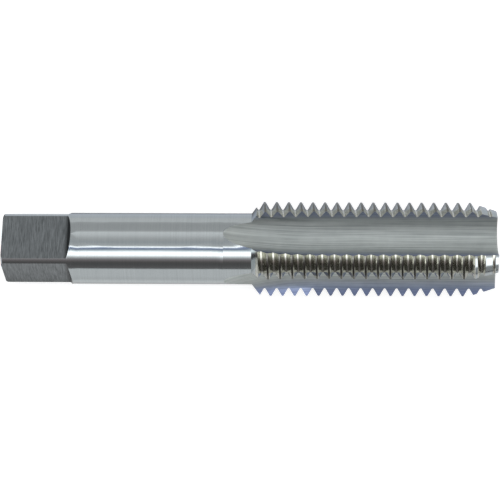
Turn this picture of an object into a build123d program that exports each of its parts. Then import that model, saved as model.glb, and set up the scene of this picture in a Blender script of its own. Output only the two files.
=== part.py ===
"""Hand tap for a 7/8 inch coarse thread of nine to the inch, ground from one steel bar.

The tap lies along +X, with the centre of its driving square's end face at the origin and its
lead at the far end. Millimetres, +Z up. One flat of the square faces +Z, and so does one of
the four flutes. The thread is right-handed, and its cutting edges face the way it is turned.
"""

from build123d import *
import math
import os

# Blank
overall_length = 115.4
shank_diameter = 16.7
shank_length = 58.25
end_bevel = 0.35
shoulder_angle = 53.0

# Driving square
across_flats = 12.7
flat_length = 15.1
flat_count = 4
flat_runout_radius = 0.4
flat_runout_slope = 65.0

# Thread
inch = 25.4
threads_per_inch = 9
major_diameter = 7 / 8 * inch
flank_angle = 30.0
groove_lead_in = 0.74
lead_length = 6.1
lead_angle = 20.0

# Flutes
flute_count = 4
web_diameter = 9.4
flute_heel_radius = 5.7
flute_heel_arc = 58.0
flute_face_radius = 4.6
flute_face_lean = 14.0
flute_offset = 0.25
flute_wheel_radius = 63.0
flute_overrun = 6.5
runout_steps = 5

# Centre holes, one in each end
centre_pilot_diameter = 3.15
centre_mouth_diameter = 6.7
centre_depth = 6.5
centre_angle = 60.0

shank_radius = shank_diameter / 2
major_radius = major_diameter / 2
cut_clearance = 1.0

# The blank is turned and ground between centres: a bevelled end, the plain shank, a cone up
# to the thread's crests, and the taper of the lead at the tip.
shoulder_length = (major_radius - shank_radius) / math.tan(math.radians(shoulder_angle))
tip_radius = major_radius - lead_length * math.tan(math.radians(lead_angle))

with BuildPart() as tap:
    with BuildSketch(Plane.XZ) as blank_profile:
        with BuildLine():
            Polyline(
                (0, 0),
                (0, shank_radius - end_bevel),
                (end_bevel, shank_radius),
                (shank_length, shank_radius),
                (shank_length + shoulder_length, major_radius),
                (overall_length - lead_length, major_radius),
                (overall_length, tip_radius),
                (overall_length, 0),
                close=True,
            )
        make_face()
    revolve(axis=Axis.X)

# A driving flat is cut down into the shank by a wheel with a rounded edge and a sloping side,
# which it leaves as the flat's run-out.
flat_height = across_flats / 2
runout_slope = math.radians(flat_runout_slope)
flat_cut_top = shank_radius + cut_clearance
arc_end_x = flat_length + flat_runout_radius * math.sin(runout_slope)
arc_end_z = flat_height + flat_runout_radius * (1 - math.cos(runout_slope))
slope_end_x = arc_end_x + (flat_cut_top - arc_end_z) / math.tan(runout_slope)

with BuildPart() as flat_cut:
    with BuildSketch(Plane.XZ) as flat_profile:
        with BuildLine():
            Polyline(
                (slope_end_x, flat_cut_top),
                (-cut_clearance, flat_cut_top),
                (-cut_clearance, flat_height),
                (flat_length, flat_height),
            )
            RadiusArc((flat_length, flat_height), (arc_end_x, arc_end_z), -flat_runout_radius)
            Line((arc_end_x, arc_end_z), (slope_end_x, flat_cut_top))
        make_face()
    extrude(amount=shank_radius, both=True)

# A flute is ground by a wheel whose rim has a small radius beside the cutting face and a larger
# one towards the heel, and both run out into straight sides. Seen from the lead, the section's
# lowest point is its origin, and the cutting face is on its right.
web_radius = web_diameter / 2
flute_height = major_radius + cut_clearance - web_radius
face_lean = math.radians(flute_face_lean)
face_end_y = flute_face_radius * math.cos(face_lean)
face_end_z = flute_face_radius * (1 - math.sin(face_lean))
face_top_y = face_end_y + (flute_height - face_end_z) * math.tan(face_lean)
heel_turn = math.radians(flute_heel_arc)
heel_end_y = -flute_heel_radius * math.sin(heel_turn)
heel_end_z = flute_heel_radius * (1 - math.cos(heel_turn))
heel_top_y = heel_end_y - (flute_height - heel_end_z) / math.tan(heel_turn)

with BuildSketch() as flute_section:
    with BuildLine():
        CenterArc((0, flute_heel_radius), flute_heel_radius, 270 - flute_heel_arc, flute_heel_arc)
        CenterArc((0, flute_face_radius), flute_face_radius, 270, 90 - flute_face_lean)
        Polyline(
            (face_end_y, face_end_z),
            (face_top_y, flute_height),
            (heel_top_y, flute_height),
            (heel_end_y, heel_end_z),
        )
    make_face()

# The wheel runs straight along the thread, then climbs out of the shank on its own radius,
# which a few straight steps follow.
runout_rise = shank_radius - web_radius
runout_length = math.sqrt(runout_rise * (2 * flute_wheel_radius - runout_rise))
runout_arc = math.asin((runout_length + cut_clearance) / flute_wheel_radius)
flute_full_depth = shank_length - flute_overrun + runout_length
wheel_path = [Vector(overall_length + cut_clearance, flute_offset, web_radius)]
for step in range(runout_steps + 1):
    turn = step * runout_arc / runout_steps
    back = flute_wheel_radius * math.sin(turn)
    rise = flute_wheel_radius * (1 - math.cos(turn))
    wheel_path.append(Vector(flute_full_depth - back, flute_offset, web_radius + rise))

with BuildPart() as flute_cut:
    with BuildLine() as flute_path:
        Polyline(*wheel_path)
    with BuildSketch(Plane(wheel_path[0], x_dir=(0, 1, 0), z_dir=(1, 0, 0))):
        add(flute_section.sketch)
    sweep(path=flute_path.line, transition=Transition.RIGHT)

# The thread is a helical groove with flanks at 60 degrees to each other. Its crests and roots
# are flats an eighth of the pitch wide. One groove cut crosses one land, from the middle of a
# flute to just short of the middle of the next, and its sides are carried on past the crests.
pitch = inch / threads_per_inch
crest_flat = pitch / 8
root_flat = pitch / 8
flank_spread = math.tan(math.radians(flank_angle))
thread_depth = (pitch - crest_flat - root_flat) / 2 / flank_spread
root_radius = major_radius - thread_depth
groove_rise = thread_depth + crest_flat / 2
groove_mouth = root_flat / 2 + groove_rise * flank_spread
groove_start = shank_length - groove_lead_in
pitch_per_land = pitch / flute_count

with BuildPart() as groove_cut:
    with BuildLine() as groove_path:
        Helix(
            pitch=pitch,
            height=0.92 * pitch_per_land,
            radius=root_radius,
            center=(groove_start, 0, 0),
            direction=(1, 0, 0),
        )
    with BuildSketch(Plane.XZ) as groove_profile:
        with BuildLine():
            Polyline(
                (groove_start - root_flat / 2, root_radius),
                (groove_start + root_flat / 2, root_radius),
                (groove_start + groove_mouth, root_radius + groove_rise),
                (groove_start - groove_mouth, root_radius + groove_rise),
                close=True,
            )
        make_face()
    sweep(path=groove_path.line, is_frenet=True)

# The cuts are repeated round the blank. Each groove cut follows the one before it a land
# further round and a land's share of the pitch further along, until they are off the tip.
groove_count = math.ceil((overall_length + pitch - groove_start) / pitch_per_land)
groove_steps = [
    Location((step * pitch_per_land, 0, 0), (step * 360 / flute_count, 0, 0))
    for step in range(groove_count)
]
square_end = Plane((0, 0, 0), z_dir=(-1, 0, 0))
tip_end = Plane((overall_length, 0, 0), z_dir=(1, 0, 0))

with tap:
    for flat in range(flat_count):
        add(flat_cut.part.rotate(Axis.X, flat * 360 / flat_count), mode=Mode.SUBTRACT)
    for flute in range(flute_count):
        add(flute_cut.part.rotate(Axis.X, flute * 360 / flute_count), mode=Mode.SUBTRACT)
    with Locations(*groove_steps):
        add(groove_cut.part, mode=Mode.SUBTRACT)
    with Locations(square_end, tip_end):
        CounterSinkHole(
            radius=centre_pilot_diameter / 2,
            counter_sink_radius=centre_mouth_diameter / 2,
            depth=centre_depth,
            counter_sink_angle=centre_angle,
        )

tap.part.label = "thread_tap"
os.makedirs("parts", exist_ok=True)
export_step(tap.part, "parts/thread_tap.step")
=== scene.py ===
import math

import bmesh
import bpy
import numpy as np
from mathutils import Matrix, Vector


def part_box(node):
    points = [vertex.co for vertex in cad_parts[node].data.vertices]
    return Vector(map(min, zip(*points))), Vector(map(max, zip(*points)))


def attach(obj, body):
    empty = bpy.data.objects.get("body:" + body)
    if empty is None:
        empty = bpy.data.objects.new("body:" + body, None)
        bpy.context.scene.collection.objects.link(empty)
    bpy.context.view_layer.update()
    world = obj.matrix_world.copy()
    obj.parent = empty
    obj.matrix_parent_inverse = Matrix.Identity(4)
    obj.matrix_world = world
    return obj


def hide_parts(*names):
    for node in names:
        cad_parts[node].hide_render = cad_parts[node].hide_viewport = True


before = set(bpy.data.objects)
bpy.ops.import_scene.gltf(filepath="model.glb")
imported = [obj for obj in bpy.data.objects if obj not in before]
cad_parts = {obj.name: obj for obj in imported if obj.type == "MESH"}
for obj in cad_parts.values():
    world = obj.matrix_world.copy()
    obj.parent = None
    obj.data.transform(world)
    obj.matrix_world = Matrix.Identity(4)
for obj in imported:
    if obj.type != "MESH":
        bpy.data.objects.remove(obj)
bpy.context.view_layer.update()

# The blank: one bar of high speed steel, turned between centres to a plain shank, a cone up to
# the thread's crests and a tapered lead. Lengths are millimetres along X from the square's end.
mm = 0.001
tap_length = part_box("thread_tap")[1][0] / mm
shank_radius = 8.35
shank_length = 58.25
end_bevel = 0.35
major_radius = 22.225 / 2
shoulder_slope = math.tan(math.radians(53))
lead_length = 6.1
lead_slope = math.tan(math.radians(18))


def blank_radius(x):
    """Radius of the turned blank at x: the least of an end bevel, a cone that starts at the
    shank's end and the lead's taper, and no more than the crests."""
    bevel = shank_radius - end_bevel + x
    cone = shank_radius + np.maximum(x - shank_length, 0) * shoulder_slope
    lead = major_radius - np.maximum(x - tap_length + lead_length, 0) * lead_slope
    return np.minimum.reduce([bevel, cone, lead, np.full_like(cone, major_radius)])


# The driving square: four flats ground across the end of the shank. The wheel's rounded edge
# and sloping side leave a short curved run-out at the end of each flat.
flat_height = 12.7 / 2
flat_length = 15.1
runout_edge = 0.4
runout_slope = math.radians(65)
runout_arc_end = flat_length + runout_edge * math.sin(runout_slope)
runout_arc_rise = flat_height + runout_edge * (1 - math.cos(runout_slope))
square_end = runout_arc_end + (shank_radius - runout_arc_rise) / math.tan(runout_slope)


def flat_rise(x):
    """Height of a flat above the axis at x: level, then a quarter-round of the wheel's edge,
    then a straight slope that climbs out of the shank."""
    into_arc = np.clip(x - flat_length, 0, runout_arc_end - flat_length)
    arc = flat_height + runout_edge - np.sqrt(runout_edge**2 - into_arc**2)
    return arc + np.maximum(x - runout_arc_end, 0) * math.tan(runout_slope)


# The thread: a right-hand helical groove of nine turns to the inch with 60 degree flanks, ground
# into the blank. Its crests and roots are flats an eighth of the pitch wide.
pitch = 25.4 / 9
crest_flat = pitch / 8
flank_spread = math.tan(math.radians(30))
root_radius = major_radius - (pitch / 2 - crest_flat) / flank_spread
groove_lead_in = 0.74
groove_start = shank_length - groove_lead_in


def thread_radius(x, around):
    """Radius of the thread's surface at x and the angle around, in degrees from -Y towards +Z.
    The distance from the nearest groove's middle gives the root, then a flank, then the crest."""
    middle = groove_start + pitch * (90 - around) / 360
    away = np.abs((x - middle + pitch / 2) % pitch - pitch / 2)
    flank = root_radius + (away - crest_flat / 2) / flank_spread
    return np.clip(flank, root_radius, major_radius)


def outer_radius(x, around):
    """Radius of the tap between the flutes: the lesser of the blank's and the thread's, which
    is cut past the shank only."""
    thread = np.where(x > shank_length, thread_radius(x, around), np.inf)
    return np.minimum(blank_radius(x), thread)


# The flutes: four straight channels ground by a wheel with a small radius beside the cutting
# face and a larger one towards the heel, which both run out into straight sides. The wheel
# climbs out of the shank on its own radius and leaves a pointed run-out.
flutes = 4
quarter = 360 / flutes
web_radius = 9.4 / 2
face_radius = 4.6
face_lean = 14
face_arc = math.radians(90 - face_lean)
face_run = face_radius * face_arc
heel_radius = 5.7
heel_arc = math.radians(58)
heel_run = heel_radius * heel_arc
flute_offset = 0.25
flute_overrun = 6.5
wheel_radius = 63.0
climb = shank_radius - web_radius
runout_tip = shank_length - flute_overrun
full_depth_x = runout_tip + math.sqrt(climb * (2 * wheel_radius - climb))


def flute_floor(x):
    """Height of the flute's lowest line above the axis at x, on a circle of the wheel's radius."""
    back = np.clip(full_depth_x - x, 0, wheel_radius)
    return web_radius + wheel_radius - np.sqrt(wheel_radius**2 - back**2)


def flute_point(x, run):
    """Across and out of the flute's section at x, a run of so many millimetres from its lowest
    line: plus towards the cutting face, minus towards the heel, round an arc and up its side."""
    face_turn = np.clip(run, 0, face_run) / face_radius
    heel_turn = np.clip(-run, 0, heel_run) / heel_radius
    past_face = np.maximum(run - face_run, 0)
    past_heel = np.maximum(-run - heel_run, 0)
    across = face_radius * np.sin(face_turn) - heel_radius * np.sin(heel_turn)
    out = face_radius * (1 - np.cos(face_turn)) + heel_radius * (1 - np.cos(heel_turn))
    across = across + past_face * math.cos(face_arc) - past_heel * math.cos(heel_arc)
    out = out + past_face * math.sin(face_arc) + past_heel * math.sin(heel_arc)
    return flute_offset + across, flute_floor(x) + out


# The skin of the tap: one closed grid. Its rows run round the tap and follow the helix on the
# lands, and its columns run from the square to the tip, ten on each land and the rest in a
# flute. A land lies between the angles at which its two flutes cut the crests.
face_edge = 28.5
heel_edge = 58.2
land_middle = (face_edge + heel_edge) / 2
tip_fade = 1.5
longest_run = 12.0
halvings = 40


def helix_shift(along, around, middle):
    """How far a row of points follows the helix, in millimetres along X, at an angle around a
    land. It fades out at the shank and at the tip, where the surface ends square."""
    fade_in = np.clip((along - shank_length) / pitch, 0, 1)
    fade_out = np.clip((tap_length - along) / tip_fade, 0, 1)
    return -pitch * (around - middle) / 360 * fade_in * fade_out


def edge_run(along, turn, side):
    """Run at which a flute meets the tap's outer surface, found by halving, for rows of points
    along the tap and the flute turned by turn degrees. side is 1 at the face, -1 at the heel."""
    low = np.zeros_like(along)
    high = np.full_like(along, longest_run)
    middle = turn + (land_middle if side > 0 else land_middle - quarter)
    for _ in range(halvings):
        run = (low + high) / 2 * side
        across, out = flute_point(along, run)
        around = turn + np.degrees(np.arctan2(across, out))
        x = along + helix_shift(along, around, middle)
        across, out = flute_point(x, run)
        inside = np.hypot(across, out) < outer_radius(x, around)
        low = np.where(inside, (low + high) / 2, low)
        high = np.where(inside, high, (low + high) / 2)
    return (low + high) / 2 * side


thread_gap = crest_flat / 2
start_gap = crest_flat / 8
least_gap = 0.02


def row_places():
    """Places of the rows along X: close where the flats and flutes run out, an eighth of a
    crest's width apart at the start of the thread, and half a crest's width along it. On the
    slope at a flat's end they follow its edge round the shank, from 30 degrees to its top."""
    round_shank = np.radians(np.linspace(30, 0, 14))
    above_arc = shank_radius * np.cos(round_shank) - runout_arc_rise
    slope = runout_arc_end + above_arc / math.tan(runout_slope)
    arc = flat_length + runout_edge * np.sin(np.linspace(0, runout_slope, 9))
    runout = runout_tip + flute_overrun * np.linspace(0, 1, 30) ** 1.5
    start = shank_length + np.arange(start_gap, pitch - start_gap / 2, start_gap)
    first = groove_start + pitch * (land_middle - 90) / 360 % thread_gap
    thread = np.arange(first, tap_length - least_gap, thread_gap)
    parts = [
        [0, end_bevel],
        np.linspace(end_bevel, flat_length, 13)[1:-1],
        arc[:-1],
        slope[slope > runout_arc_end],
        np.linspace(square_end, runout_tip, 26)[1:-1],
        runout,
        start,
        thread[thread > start[-1] + least_gap],
        [tap_length],
    ]
    return np.unique(np.round(np.concatenate(parts), 5))


rows = row_places()
land_columns = 10
heel_side = 2.4
face_side = 2.0
flute_runs = np.concatenate([
    np.linspace(-heel_run - heel_side, -heel_run, 5)[:-1],
    np.linspace(-heel_run, 0, 12)[:-1],
    np.linspace(0, face_run, 14),
    np.linspace(face_run, face_run + face_side, 5)[1:],
])
plain_spread = 28
tolerance = 1e-3


def ring_of_points():
    """Points of every row, as rows by columns by three, and the run of each round the section.
    In each quarter come a flute's columns, from its heel side to its cutting face, and then the
    land's. Before the flutes start, their columns lie on the shank or on the square's flat."""
    face_runs = [edge_run(rows, quarter * k, 1) for k in range(flutes)]
    heel_runs = [edge_run(rows, quarter * k, -1) for k in range(flutes)]

    def edge_angle(k, edge_runs):
        across, out = flute_point(rows, edge_runs[k % flutes])
        return quarter * k + np.degrees(np.arctan2(across, out))

    # On the plain shank and the square, a flute's columns are spread over an arc or a flat.
    plain = rows < runout_tip - tolerance
    on_flat = rows < square_end
    flat_turn = np.degrees(np.arccos(np.clip(flat_rise(rows) / blank_radius(rows), 0, 1)))
    bow = np.clip((rows - square_end) / (runout_tip - square_end), 0, 1)
    plain_half = np.where(on_flat, flat_turn, plain_spread * np.sin(np.pi * bow) ** 0.5)
    plain_middle = math.degrees(math.atan2(flute_offset, shank_radius)) * bow
    spread = (flute_runs - flute_runs[0]) / (flute_runs[-1] - flute_runs[0]) * 2 - 1
    half = np.radians(plain_half)[:, None]
    arc = np.radians(plain_middle)[:, None] + half * spread
    radius = blank_radius(rows)[:, None]
    plain_across = radius * np.where(on_flat[:, None], np.sin(half) * spread, np.sin(arc))
    plain_out = radius * np.where(on_flat[:, None], np.cos(half), np.cos(arc))

    parts = []
    runs = []
    for k in range(flutes):
        turn = quarter * k
        heel_around = np.where(plain, turn + plain_middle - plain_half, edge_angle(k, heel_runs))
        face_around = np.where(plain, turn + plain_middle + plain_half, edge_angle(k, face_runs))
        next_plain = turn + quarter + plain_middle - plain_half
        next_heel = np.where(plain, next_plain, edge_angle(k + 1, heel_runs))

        run = np.clip(flute_runs[None, :], heel_runs[k][:, None], face_runs[k][:, None])
        span = np.maximum(face_runs[k] - heel_runs[k], tolerance)[:, None]
        share = (run - heel_runs[k][:, None]) / span
        heel_shift = helix_shift(rows, heel_around, turn + land_middle - quarter)[:, None]
        face_shift = helix_shift(rows, face_around, turn + land_middle)[:, None]
        x = rows[:, None] + heel_shift + (face_shift - heel_shift) * share
        across, out = flute_point(x, run)
        x = np.where(plain[:, None], rows[:, None], x)
        across = np.where(plain[:, None], plain_across, across)
        out = np.where(plain[:, None], plain_out, out)
        tilt = math.radians(turn)
        y = across * math.sin(tilt) - out * math.cos(tilt)
        z = across * math.cos(tilt) + out * math.sin(tilt)
        parts.append(np.stack([x, y, z], axis=2))
        runs.append(run)

        step = np.arange(1, land_columns) / land_columns
        around = face_around[:, None] + (next_heel - face_around)[:, None] * step
        x = rows[:, None] + helix_shift(rows[:, None], around, turn + land_middle)
        land_radius = outer_radius(x, around)
        angle = np.radians(around)
        y = -land_radius * np.cos(angle)
        z = land_radius * np.sin(angle)
        parts.append(np.stack([x, y, z], axis=2))
        runs.append(land_radius * angle)
    return np.concatenate(parts, axis=1), np.concatenate(runs, axis=1)


# The centre holes: a 60 degree countersink and a pilot hole in each end, drilled first, in
# which the tap turned on the grinder's centres. They close the grid at both ends.
mouth_radius = 6.7 / 2
pilot_radius = 3.15 / 2
hole_depth = 6.5
cone_depth = (mouth_radius - pilot_radius) / math.tan(math.radians(30))


def centre_hole(ring, end_x, inward):
    """Rows of points from an end's outline to the middle of its centre hole's floor: the mouth,
    the cone's foot, the pilot's floor and its middle, at the outline's own angles."""
    angle = np.arctan2(ring[:, 2], ring[:, 1])
    radius = np.array([[mouth_radius], [pilot_radius], [pilot_radius], [0]])
    depth = np.array([[0], [cone_depth], [hole_depth], [hole_depth]])
    x = end_x + inward * depth + np.zeros_like(angle)
    return np.stack([x, radius * np.cos(angle), radius * np.sin(angle)], axis=2)


skin, skin_run = ring_of_points()
square_hole = centre_hole(skin[0], 0, 1)[::-1]
lead_hole = centre_hole(skin[-1], tap_length, -1)
points = np.concatenate([square_hole, skin, lead_hole])
section_run = np.pad(skin_run, ((len(square_hole), len(lead_hole)), (0, 0)), mode="edge")
row_count, column_count = points.shape[:2]
index = np.arange(row_count * column_count).reshape(row_count, column_count)
following = np.roll(index, -1, axis=1)
quads = np.stack([index[:-1], index[1:], following[1:], following[:-1]], axis=2).reshape(-1, 4)

# The surfaces: each face is given the finish of the tool that cut it last. The shank's finish
# reaches a little up the back cone, and the cone that cuts the crests of the lead has it too.
on_shank, on_square, on_flute, on_thread, on_end = range(5)
cone_share = 1.0
quarter_columns = len(flute_runs) + land_columns - 1
face_row, face_column = np.divmod(np.arange(len(quads)), column_count)
face_x = points[face_row, face_column, 0]
in_flute = face_column % quarter_columns < len(flute_runs) - 1
in_skin = (face_row >= len(square_hole)) & (face_row < len(square_hole) + len(skin) - 1)
point_radius = np.hypot(points[..., 1], points[..., 2])
on_blank = np.abs(point_radius - blank_radius(points[..., 0])) < 10 * tolerance
opposite = (face_row + 1, (face_column + 1) % column_count)
on_lead = on_blank[face_row, face_column] & on_blank[opposite] & (face_x > tap_length - lead_length)
surface = np.where((face_x > shank_length + cone_share) & ~on_lead, on_thread, on_shank)
surface = np.where(in_flute & (face_x > runout_tip - tolerance), on_flute, surface)
surface = np.where(in_flute & (face_x < square_end - tolerance), on_square, surface)
surface = np.where(in_skin, surface, on_end)

crease = math.radians(17)
mesh = bpy.data.meshes.new("thread_tap_skin")
mesh.from_pydata((points.reshape(-1, 3) * mm).tolist(), [], quads.tolist())
tap = bpy.data.objects.new("thread_tap_skin", mesh)
bpy.context.scene.collection.objects.link(tap)
mesh.polygons.foreach_set("material_index", surface.astype(np.int32))
mesh.attributes.new("section_run", "FLOAT", "POINT").data.foreach_set("value", section_run.ravel())
form = bmesh.new()
form.from_mesh(mesh)
bmesh.ops.remove_doubles(form, verts=form.verts, dist=2 * tolerance * mm)
bmesh.ops.recalc_face_normals(form, faces=form.faces)
form.to_mesh(mesh)
form.free()
mesh.shade_smooth()
mesh.set_sharp_from_angle(angle=crease)

# Ground high speed steel: bright and slightly blue-grey, with the fine lines that a grinding
# wheel leaves. They are some hundredths of a millimetre apart on the real tap, and are drawn as
# coarse as they need to be to show.
faint_noise = 0.3
strong_noise = 0.7


def linear(hex_colour):
    """An sRGB hex colour as the linear colour, with alpha, that nodes take."""
    parts = [int(hex_colour[i : i + 2], 16) / 255 for i in (1, 3, 5)]
    return [p / 12.92 if p <= 0.04045 else ((p + 0.055) / 1.055) ** 2.4 for p in parts] + [1]


def add(tree, kind, settings=None, **inputs):
    """Adds a node with its settings. An input is given by its name, or by an underscore and its
    number. One given as a socket is linked, and others are set."""
    node = tree.nodes.new(kind)
    for name, value in (settings or {}).items():
        setattr(node, name, value)
    for name, value in inputs.items():
        place = int(name[1:]) if name[1:].isdigit() else name.replace("_", " ")
        if isinstance(value, bpy.types.NodeSocket):
            tree.links.new(value, node.inputs[place])
        else:
            node.inputs[place].default_value = value
    return node


def steel(name, colour, dark, marks, roughness, spread, depth, streak, mottle, patches=0.35):
    """Ground steel. marks is how many grinding lines a millimetre the pattern has along X, Y
    and Z, or along X and round the section if it gives two. The lines change the roughness by
    spread either way and are depth millimetres deep. streak and mottle are how much of the dark
    colour comes in the lines and in clouds, of which there are patches a millimetre."""
    material = bpy.data.materials.new(name)
    material.use_nodes = True
    tree = material.node_tree
    shader = tree.nodes["Principled BSDF"]
    place = add(tree, "ShaderNodeTexCoord").outputs["Object"]
    ground = place
    if len(marks) == 2:
        run = add(tree, "ShaderNodeAttribute", {"attribute_name": "section_run"}).outputs["Fac"]
        run = add(tree, "ShaderNodeMath", {"operation": "MULTIPLY"}, _0=run, _1=mm).outputs[0]
        split = add(tree, "ShaderNodeSeparateXYZ", Vector=place)
        x, z = split.outputs["X"], split.outputs["Z"]
        ground = add(tree, "ShaderNodeCombineXYZ", X=x, Y=run, Z=z).outputs[0]
        marks = (*marks, marks[0])
    scaled = add(tree, "ShaderNodeMapping", _0=ground, Scale=[n / mm for n in marks]).outputs[0]
    lines = add(tree, "ShaderNodeTexNoise", Vector=scaled, Scale=1, Detail=3, Roughness=0.6)
    lines = lines.outputs["Fac"]
    cloud = add(tree, "ShaderNodeTexNoise", Vector=place, Scale=patches / mm, Detail=4, Roughness=0.55)
    worn = add(
        tree, "ShaderNodeMapRange", Value=cloud.outputs["Fac"],
        From_Min=0.35, From_Max=strong_noise, To_Max=mottle,
    )
    lined = add(
        tree, "ShaderNodeMapRange", Value=lines,
        From_Min=faint_noise, From_Max=strong_noise, To_Max=streak,
    )
    darker = add(
        tree, "ShaderNodeMath", {"operation": "ADD"}, _0=worn.outputs[0], _1=lined.outputs[0]
    )
    tone = add(
        tree, "ShaderNodeMix", {"data_type": "RGBA"},
        _0=darker.outputs[0], _6=linear(colour), _7=linear(dark),
    )
    gloss = add(
        tree, "ShaderNodeMapRange", Value=lines, From_Min=faint_noise, From_Max=strong_noise,
        To_Min=roughness - spread, To_Max=roughness + spread,
    )
    bump = add(tree, "ShaderNodeBump", Height=lines, Distance=depth * mm, Strength=1)
    tree.links.new(tone.outputs["Result"], shader.inputs["Base Color"])
    tree.links.new(gloss.outputs[0], shader.inputs["Roughness"])
    tree.links.new(bump.outputs[0], shader.inputs["Normal"])
    shader.inputs["Metallic"].default_value = 1
    return material


def graded(tree, value, stops):
    """Colour ramp along a value, and the level of its brightest stop, by which its colours are
    divided. A stop is its value, an sRGB hex colour and a level."""
    first, last = stops[0][0], stops[-1][0]
    share = add(tree, "ShaderNodeMapRange", Value=value, From_Min=first, From_Max=last)
    ramp = add(tree, "ShaderNodeValToRGB", _0=share.outputs[0])
    brightest = max(level for _, _, level in stops)
    elements = ramp.color_ramp.elements
    elements[0].position = 0
    elements[1].position = 1
    for place, _, _ in stops[1:-1]:
        elements.new((place - first) / (last - first))
    for element, (_, colour, level) in zip(elements, stops):
        element.color = [part * level / brightest for part in linear(colour)[:3]] + [1]
    return ramp.outputs["Color"], brightest


def paint_shade_and_reflection(material, measure, stops):
    """Paints light and shade into a steel's colour by filtering it along a measure in millimetres:
    its distance along X, its radius from the axis, or its run round a flute's section from the lowest
    line."""
    tree = material.node_tree
    base = tree.nodes["Principled BSDF"].inputs["Base Color"]
    if measure == "run":
        run = add(tree, "ShaderNodeAttribute", {"attribute_name": "section_run"})
        distance = run.outputs["Fac"]
    else:
        place = add(tree, "ShaderNodeTexCoord").outputs["Object"]
        place = add(tree, "ShaderNodeSeparateXYZ", Vector=place).outputs
        metres = place["X"]
        if measure == "radius":
            away = add(tree, "ShaderNodeCombineXYZ", Y=place["Y"], Z=place["Z"]).outputs[0]
            length = add(tree, "ShaderNodeVectorMath", {"operation": "LENGTH"}, _0=away)
            metres = length.outputs["Value"]
        divided = add(tree, "ShaderNodeMath", {"operation": "DIVIDE"}, _0=metres, _1=mm)
        distance = divided.outputs[0]
    colour, _ = graded(tree, distance, stops)
    filtered = add(
        tree, "ShaderNodeMix", {"data_type": "RGBA", "blend_type": "MULTIPLY"},
        _0=1, _6=base.links[0].from_socket, _7=colour,
    )
    tree.links.new(filtered.outputs["Result"], base)


# The shank is ground round between centres. Its rings keep a highlight narrow and clear.
shank_steel = steel(
    "cylindrically_ground_steel", "#C0C7C9", "#A2A9AC", marks=(5, 0.05, 0.05),
    roughness=0.1, spread=0.02, depth=0.0002, streak=0.25, mottle=0.1,
)

# The square is dark from the heat treatment and ground across. Its sloping run-out is darkened further
# as painted shade.
square_steel = steel(
    "cross_ground_dark_steel", "#868B8E", "#4C5152", marks=(5, 0.4, 0.4),
    roughness=0.32, spread=0.06, depth=0.002, streak=0.7, mottle=0.1,
)
# Painted shade: past the flat's end the colour drops to half.
paint_shade_and_reflection(square_steel, "along", [(flat_length - 0.5, "#FFFFFF", 1), (flat_length, "#FFFFFF", 0.5)])

# The flutes are form-ground to a satin. Up both sides the colour is darkened as painted shade, and on
# # the heel side and towards the crests it is tinted bluish as a painted reflection of bluish light.
# The
# # lines run along a flute, so the gloss is spread across them.
flute_steel = steel(
    "form_ground_steel", "#DEE4E1", "#949C9B", marks=(0.05, 4),
    roughness=0.42, spread=0.04, depth=0.0006, streak=0.65, mottle=0.12,
)
paint_shade_and_reflection(flute_steel, "run", [
    (-7, "#DCE4FF", 0.64), (-5.8, "#DCE4FF", 0.66), (-5, "#E8ECFF", 0.68), (-4.4, "#F4F6FF", 0.7),
    (-3.4, "#FFFFFF", 0.82), (-2.6, "#FFFFFF", 1), (0, "#FFFFFF", 1), (1.2, "#FFFFFF", 0.86),
    (2.2, "#FFFFFF", 0.68), (3.2, "#FFFFFF", 0.58), (4.6, "#FFFFFF", 0.64), (6, "#FAFAFF", 0.66),
])
# Painted reflection: towards the crests the flute's colour turns bluish.
paint_shade_and_reflection(flute_steel, "radius", [(8.6, "#FFFFFF", 1), (10, "#E2E6FF", 1)])
shader = flute_steel.node_tree.nodes["Principled BSDF"]
shader.inputs["Anisotropic"].default_value = 0.95
across_lines = add(
    flute_steel.node_tree, "ShaderNodeTangent", {"direction_type": "RADIAL", "axis": "X"}
)
flute_steel.node_tree.links.new(across_lines.outputs[0], shader.inputs["Tangent"])

# The thread is ground by a ribbed wheel. It is glossy, a little straw-coloured and mottled, and near
# # the crests its colour is darkened as painted shade, which dims their highlight.
thread_steel = steel(
    "thread_ground_steel", "#DEDFD7", "#A2A39C", marks=(3, 0.4, 0.4),
    roughness=0.1, spread=0.03, depth=0.0006, streak=0.5, mottle=0.55, patches=1.3,
)
# Painted shade on the crests: the colour darkens within a fifth of a millimetre of them.
painted_crest_shade_depth = 0.08
painted_crest_shade_fade = 0.2
paint_shade_and_reflection(thread_steel, "radius", [
    (major_radius - painted_crest_shade_fade, "#FFFFFF", 1), (major_radius - painted_crest_shade_depth, "#FFFFFF", 0.3),
])

# The ends and the centre holes are as the lathe left them, dull and even.
end_steel = steel(
    "turned_steel", "#A4AAAB", "#74797A", marks=(1, 1, 1),
    roughness=0.3, spread=0.06, depth=0.001, streak=0.25, mottle=0.4,
)

for finish in (shank_steel, square_steel, flute_steel, thread_steel, end_steel):
    mesh.materials.append(finish)
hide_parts("thread_tap")
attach(tap, "root")

# The floor: a plain white sheet. The tap lies on it on two crests and on the edge of its shank,
# so the sheet is tilted a little in the tap's own frame. It looks white and keeps a shadow.
sheet_size = 6
rest_angle = math.radians(2.2)
first_crest = 61.5
crest_foot = -10.12
bpy.ops.mesh.primitive_plane_add(size=sheet_size)
floor = bpy.context.object
floor.name = "white_floor"
floor.rotation_euler = (0, rest_angle, 0)
floor.location = Vector((first_crest, 0, crest_foot)) * mm
paper = bpy.data.materials.new("matt_white_paper")
paper.use_nodes = True
tree = paper.node_tree
tree.nodes.clear()
path = add(tree, "ShaderNodeLightPath")
matt = add(tree, "ShaderNodeBsdfDiffuse", Color=linear("#C8C8C8"))
glow = add(tree, "ShaderNodeEmission", Color=linear("#FFFFFF"), Strength=0.72)
lit = add(tree, "ShaderNodeAddShader", _0=matt.outputs[0], _1=glow.outputs[0])
seen = add(
    tree, "ShaderNodeMixShader",
    _0=path.outputs["Is Camera Ray"], _1=matt.outputs[0], _2=lit.outputs[0],
)
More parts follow.
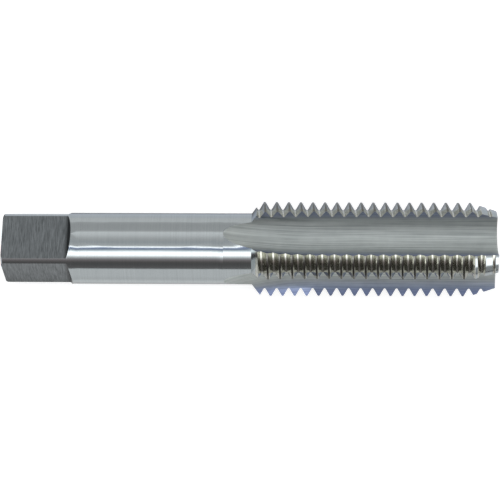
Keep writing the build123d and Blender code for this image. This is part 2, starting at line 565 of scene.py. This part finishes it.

# In the steel the sheet shows as a painted strip of light in front of the tap, with a painted shadow
# # of the tap under it and behind it. Levels are given by the distance behind the axis in millimetres.
sheet_light_and_painted_shadow = [
    (-300, "#FFFFFF", 0.15), (-270, "#FFFFFF", 0.25), (-220, "#FFFFFF", 0.6), (-130, "#FFFFFF", 0.76),
    (-24, "#FFFFFF", 0.74), (-15, "#FFFFFF", 0.66), (-13, "#FFFFFF", 0.82), (-10.5, "#FFFFFF", 0.82),
    (-8.5, "#FFFFFF", 0.55), (-4, "#FFFFFF", 0.42), (5, "#FFFFFF", 0.12), (17, "#FFFFFF", 0.12),
    (20, "#E8F0FF", 0.34), (24, "#E8F0FF", 0.6), (30, "#F4F8FF", 0.7), (300, "#FFFFFF", 0.7),
]
place = add(tree, "ShaderNodeTexCoord").outputs["Object"]
place = add(tree, "ShaderNodeSeparateXYZ", Vector=place).outputs
behind = add(tree, "ShaderNodeMath", {"operation": "DIVIDE"}, _0=place["Y"], _1=mm)
strip_and_painted_shadow, brightest = graded(tree, behind.outputs[0], sheet_light_and_painted_shadow)
floor_in_steel_with_painted_shadow = add(tree, "ShaderNodeEmission", Color=strip_and_painted_shadow, Strength=brightest)
either = add(
    tree, "ShaderNodeMixShader",
    _0=path.outputs["Is Glossy Ray"], _1=seen.outputs[0], _2=floor_in_steel_with_painted_shadow.outputs[0],
)
add(tree, "ShaderNodeOutputMaterial", Surface=either.outputs[0])
floor.data.materials.append(paper)

# The light: a white room that is darker towards the camera, with long soft lamps above the tap.
# The room's brightness is given by the height of the direction over the front horizon, in
# degrees, which runs from straight down in front, over the tap, to straight down behind.
room = [
    (-90, "#FFFFFF", 0.7), (3, "#F6EEEE", 0.17), (12, "#F4F0F0", 0.13), (20, "#F8F0EE", 0.13),
    (26, "#FFF0F0", 0.2), (32, "#FFF4F6", 0.36), (37, "#FFFFFF", 0.7), (41, "#FFFFFF", 1.35),
    (45, "#FFFFFF", 2.2), (54, "#FFFFFF", 2.2), (60, "#EEF8FF", 0.8), (63, "#D8E8FF", 0.5),
    (66, "#C0D0FF", 0.4), (68.5, "#D0DCFF", 0.9), (70.3, "#FFFFFF", 2.8), (71.8, "#FFFFFF", 1.6),
    (74, "#FFFFFF", 0.65), (86, "#F8FCFF", 0.54), (94, "#FFFFFF", 0.56), (101, "#FFFFFF", 0.65),
    (110, "#FFFFFF", 0.82), (120, "#FFFFFF", 0.9), (124, "#FFFFFF", 0.6), (128, "#FFFFFF", 0.52),
    (148, "#FFFFFF", 0.5), (160, "#FFFFFF", 0.54), (163, "#FFFFFF", 0.74), (180, "#FFFFFF", 0.72),
    (270, "#FFFFFF", 0.7),
]
down_in_front = math.radians(room[0][0])
down_behind = math.radians(room[-1][0])
world = bpy.data.worlds.new("studio")
bpy.context.scene.world = world
world.use_nodes = True
tree = world.node_tree
tree.nodes.clear()
way = add(tree, "ShaderNodeTexCoord").outputs["Generated"]
way = add(tree, "ShaderNodeSeparateXYZ", Vector=way).outputs
front = add(tree, "ShaderNodeMath", {"operation": "MULTIPLY"}, _0=way["Y"], _1=-1)
height = add(tree, "ShaderNodeMath", {"operation": "ARCTAN2"}, _0=way["Z"], _1=front.outputs[0])
wrapped = add(
    tree, "ShaderNodeMath", {"operation": "WRAP"},
    _0=height.outputs[0], _1=down_behind, _2=down_in_front,
)
degrees = add(tree, "ShaderNodeMath", {"operation": "DEGREES"}, _0=wrapped.outputs[0])
bands, brightest = graded(tree, degrees.outputs[0], room)
lamps = add(tree, "ShaderNodeBackground", Color=bands, Strength=brightest)

# Past the tap's tip the lamps end, and a window low on that side shows in the tapered lead. It
# is blended in by how far along X a direction points.
beside = [
    (-90, "#FFFFFF", 0.6), (14, "#FFFFFF", 0.35), (18, "#FFFFFF", 2.2), (38, "#FFFFFF", 2.2),
    (43, "#FFFFFF", 0.5), (90, "#FFFFFF", 0.5), (270, "#FFFFFF", 0.6),
]
lamps_end = 0.45
window_start = 0.58
panes, brightest = graded(tree, degrees.outputs[0], beside)
window = add(tree, "ShaderNodeBackground", Color=panes, Strength=brightest)
past = add(
    tree, "ShaderNodeMapRange", Value=way["X"], From_Min=lamps_end, From_Max=window_start
)
light = add(
    tree, "ShaderNodeMixShader",
    _0=past.outputs[0], _1=lamps.outputs[0], _2=window.outputs[0],
)
path = add(tree, "ShaderNodeLightPath")
white = add(tree, "ShaderNodeBackground", Color=linear("#FFFFFF"), Strength=1)
sky = add(
    tree, "ShaderNodeMixShader",
    _0=path.outputs["Is Camera Ray"], _1=light.outputs[0], _2=white.outputs[0],
)
add(tree, "ShaderNodeOutputWorld", Surface=sky.outputs[0])

# The camera stands above and in front of the tap and looks down on it with a long lens. Its
# right side follows the tap's axis, apart from the photograph's slight turn.
view_height = math.radians(65.8)
view_distance = 480
picture_width = 117.65
picture_turn = math.radians(-0.2)
picture_drop = 0.25
sensor_width = 36
aim = Vector((57.8, 0, 0)) * mm
back_and_up = Vector((0, -math.cos(view_height), math.sin(view_height))) * view_distance
stand = (Vector((70, 0, 0)) + back_and_up) * mm
look = (aim - stand).normalized()
right = Vector((1, 0, 0))
right = (right - right.dot(look) * look).normalized()
up = right.cross(look)
turn = Matrix.Rotation(picture_turn, 3, look)
right, up = turn @ right, turn @ up
camera_data = bpy.data.cameras.new("camera")
camera = bpy.data.objects.new("camera", camera_data)
bpy.context.scene.collection.objects.link(camera)
bpy.context.scene.camera = camera
camera_data.sensor_width = sensor_width
camera_data.lens = sensor_width * (aim - stand).length / (picture_width * mm)
camera_data.clip_start = 10 * mm
pose = Matrix((right, up, -look)).transposed().to_4x4()
pose.translation = stand - up * picture_drop * mm
camera.matrix_world = pose
bpy.context.scene.view_settings.view_transform = "Standard"
